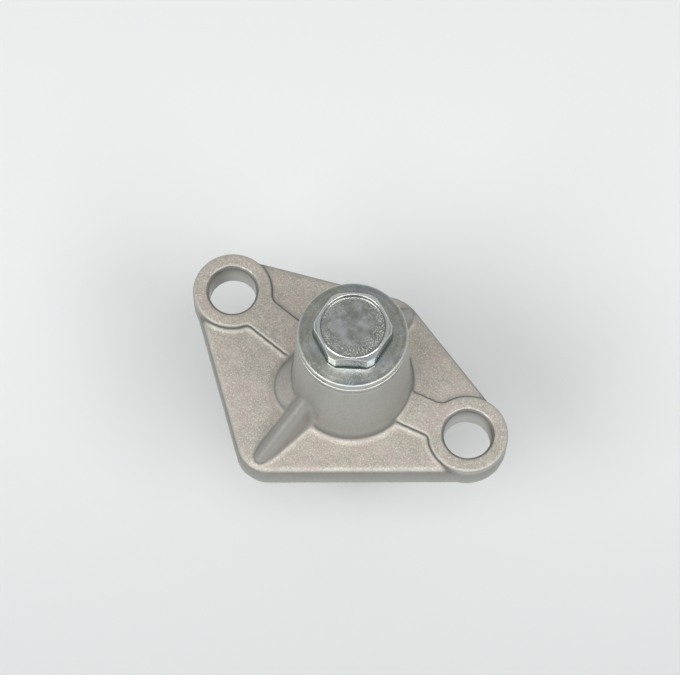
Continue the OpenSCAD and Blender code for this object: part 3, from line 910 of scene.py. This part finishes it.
def feed_screw(material):
    """The drive screw with its thread rolled smooth."""
    obj = remeshed_copy("drive_screw", "feed_screw", FINE_VOXEL)
    soften(obj.data, STEEL_SOFTNESS, THREAD_PASSES)
    points = points_of(obj.data)
    x, y, z = points.T
    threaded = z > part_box("drive_screw")[0].z + NEAR_SURFACE
    threaded &= z < THREAD_TOP - NEAR_SURFACE
    turn = np.arctan2(y, x) - 2 * math.pi * z / THREAD_LEAD
    radius = THREAD_MID_R + THREAD_HALF_DEPTH * np.cos(THREAD_STARTS * turn)
    points[threaded, :2] *= (radius / np.hypot(x, y))[threaded, None]
    set_points(obj.data, points)
    thin_out(obj, SCREW_TRIANGLES)
    obj.data.materials.append(material)
    stand_for(obj, "drive_screw", "screw")


def dress(node, material, edge):
    """A CAD node that keeps its shape: eased edges and its own material."""
    obj = frame["nodes"][node]
    obj.modifiers.new("weld", "WELD").merge_threshold = WELD_DISTANCE
    bevel = obj.modifiers.new("eased_edges", "BEVEL")
    bevel.width = edge
    bevel.segments = BEVEL_SEGMENTS
    bevel.limit_method = "ANGLE"
    bevel.angle_limit = math.radians(BEVEL_ANGLE_DEG)
    obj.data.materials.clear()
    obj.data.materials.append(material)


def steel_pieces():
    ground = turned_steel("ground_steel", GROUND_LINES)
    turned = turned_steel("plunger_steel", TURNED_LINES)
    black = black_oxide()
    feed_screw(ground)
    wound_spring()
    dress("seal_washer", rolled_washer(), edge=0.15 * MM)
    dress("thrust_seat", ground, edge=0.1 * MM)
    dress("spacer_tube", ground, edge=0.05 * MM)
    dress("plunger", turned, edge=0.02 * MM)
    dress("plunger_cap", black, edge=0.1 * MM)
    dress("guide_plate", turned, edge=0.1 * MM)
    dress("snap_ring", black, edge=0.08 * MM)


def floor():
    """The sheet under the standing part."""
    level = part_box("plunger_cap")[0].z + FLOOR_RISE
    ends = ((-1, -1), (1, -1), (1, 1), (-1, 1))
    corners = [(x * FLOOR_HALF, y * FLOOR_HALF, level) for x, y in ends]
    mesh = bpy.data.meshes.new("floor")
    mesh.from_pydata(corners, [], [(0, 1, 2, 3)])
    mesh.materials.append(floor_sheet())
    obj = put("floor", mesh)


def world():
    """Pale surroundings for what looks at them, softer ambient light for the rest."""
    made = bpy.data.worlds.new("surroundings")
    bpy.context.scene.world = made
    w = Nodes(made)
    direction = w.node("ShaderNodeTexCoord").outputs["Generated"]
    height = w.height_of(direction)
    view = picture_axes()[2]
    behind = w.reach(direction, -Vector((view.x, view.y, 0)).normalized())
    tone = w.mix(w.span(height, *CEILING_HEIGHT), BACKDROP_COLOUR, CEILING_COLOUR)
    room = w.both(w.span(behind, *ROOM_SIDE), w.span(height, *ROOM_HEIGHT))
    seen = w.tree.nodes["Background"]
    w.feed(seen.inputs["Color"], w.mix(room, tone, ROOM_COLOUR))
    ambient = w.node("ShaderNodeBackground")
    w.feed(ambient.inputs["Color"], AMBIENT_COLOUR)
    w.feed(ambient.inputs["Strength"], AMBIENT_STRENGTH)
    rays = w.node("ShaderNodeLightPath").outputs
    looks = w.either(rays["Is Camera Ray"], rays["Is Glossy Ray"])
    looks = w.either(looks, rays["Is Transmission Ray"])
    surface = w.choose(looks, ambient.outputs["Background"], seen.outputs["Background"])
    w.feed(w.tree.nodes["World Output"].inputs["Surface"], surface)


def camera():
    right, up, view = picture_axes()
    lens = bpy.data.cameras.new("photo_camera")
    lens.sensor_width = SENSOR_MM
    lens.lens = FOCAL_PX * SENSOR_MM / PHOTO_W
    obj = put("photo_camera", lens)
    obj.matrix_world = Matrix((right, up, -view)).transposed().to_4x4()
    obj.location = right * CAMERA_SHIFT_RIGHT + up * CAMERA_SHIFT_UP - view * CAMERA_DISTANCE
    bpy.context.scene.camera = obj


def softbox(name, turn_deg, height_deg, distance, size, share):
    """Square lamp aimed at the part. With a share of 1 it alone shows a floor's full colour."""
    right, _, view = picture_axes()
    ahead = Vector((view.x, view.y, 0)).normalized()
    side = Vector((right.x, right.y, 0)).normalized()
    turn, height = math.radians(turn_deg), math.radians(height_deg)
    level = side * math.sin(turn) + ahead * math.cos(turn)
    towards = level * math.cos(height) + Vector((0, 0, math.sin(height)))
    lamp = bpy.data.lights.new(name, "AREA")
    lamp.shape = "SQUARE"
    lamp.size = size
    lamp.energy = share * (math.pi * distance) ** 2 / math.sin(height)
    obj = put(name, lamp)
    obj.location = towards * distance
    obj.rotation_euler = towards.to_track_quat("Z", "Y").to_euler()


def lights():
    softbox("left_softbox", turn_deg=-130, height_deg=51, distance=0.8, size=0.4, share=0.32)
    softbox("right_softbox", turn_deg=132, height_deg=51, distance=0.8, size=0.4, share=0.26)
    softbox("front_softbox", turn_deg=180, height_deg=75, distance=1.0, size=0.4, share=0.18)


def main():
    bpy.context.scene.view_settings.view_transform = "Standard"
    housing_casting()
    plug_bolt()
    steel_pieces()
    floor()
    world()
    camera()
    lights()


main()
